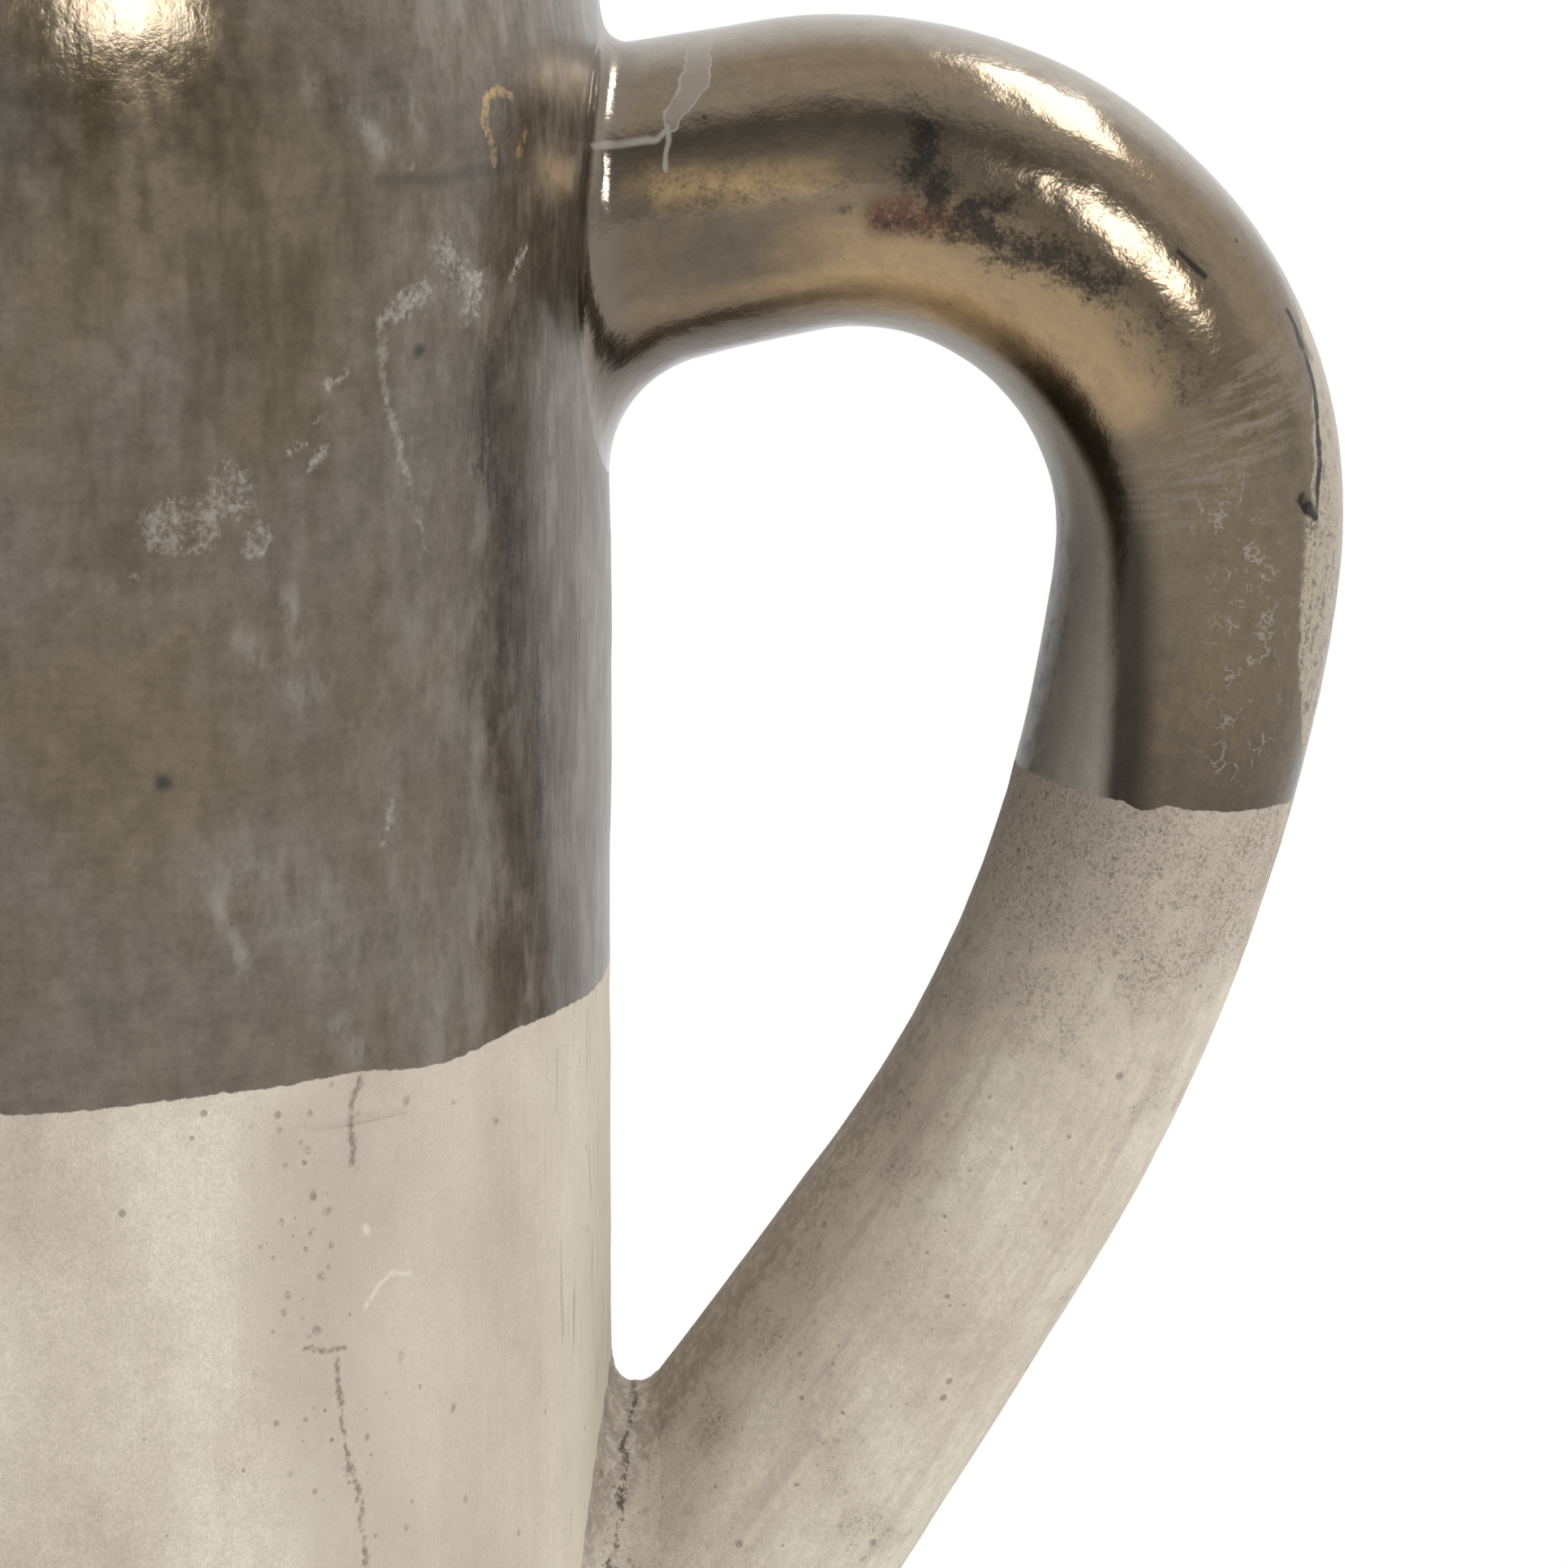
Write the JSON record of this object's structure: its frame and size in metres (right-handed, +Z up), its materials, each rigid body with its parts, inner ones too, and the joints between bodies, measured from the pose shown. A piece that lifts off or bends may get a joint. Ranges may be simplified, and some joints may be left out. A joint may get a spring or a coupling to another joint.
{
  "type": "ceramic jug",
  "caption": "Tall round stoneware jug with a straight wall, short flared neck, pouring lip and thick ear handle, glazed bronze above and bare clay below, for holding and pouring.",
  "frame": {"origin": "centre of the foot, on the plane that the jug stands on", "axes": "+Z up, +X towards the handle, -X towards the pouring lip"},
  "size_m": [0.2224, 0.1458, 0.3114],
  "materials": {
    "clay": "bare fired stoneware, matt, warm grey-beige with dark pores",
    "lustre": "bronze-brown metallic lustre glaze, cloudy, with tarnish, drips and fine cracks",
    "liner": "dark brown gloss glaze"
  },
  "bodies": {
    "root": {"base_disc": "clay", "body_wall": "clay", "floor_coil": "clay", "neck_collar": "clay", "handle": "clay", "upper_joint_clay": "clay", "lower_joint_clay": "clay", "lustre_coat_body": "lustre", "lustre_coat_handle": "lustre", "liner_glaze": "liner"}
  },
  "joints": []
}
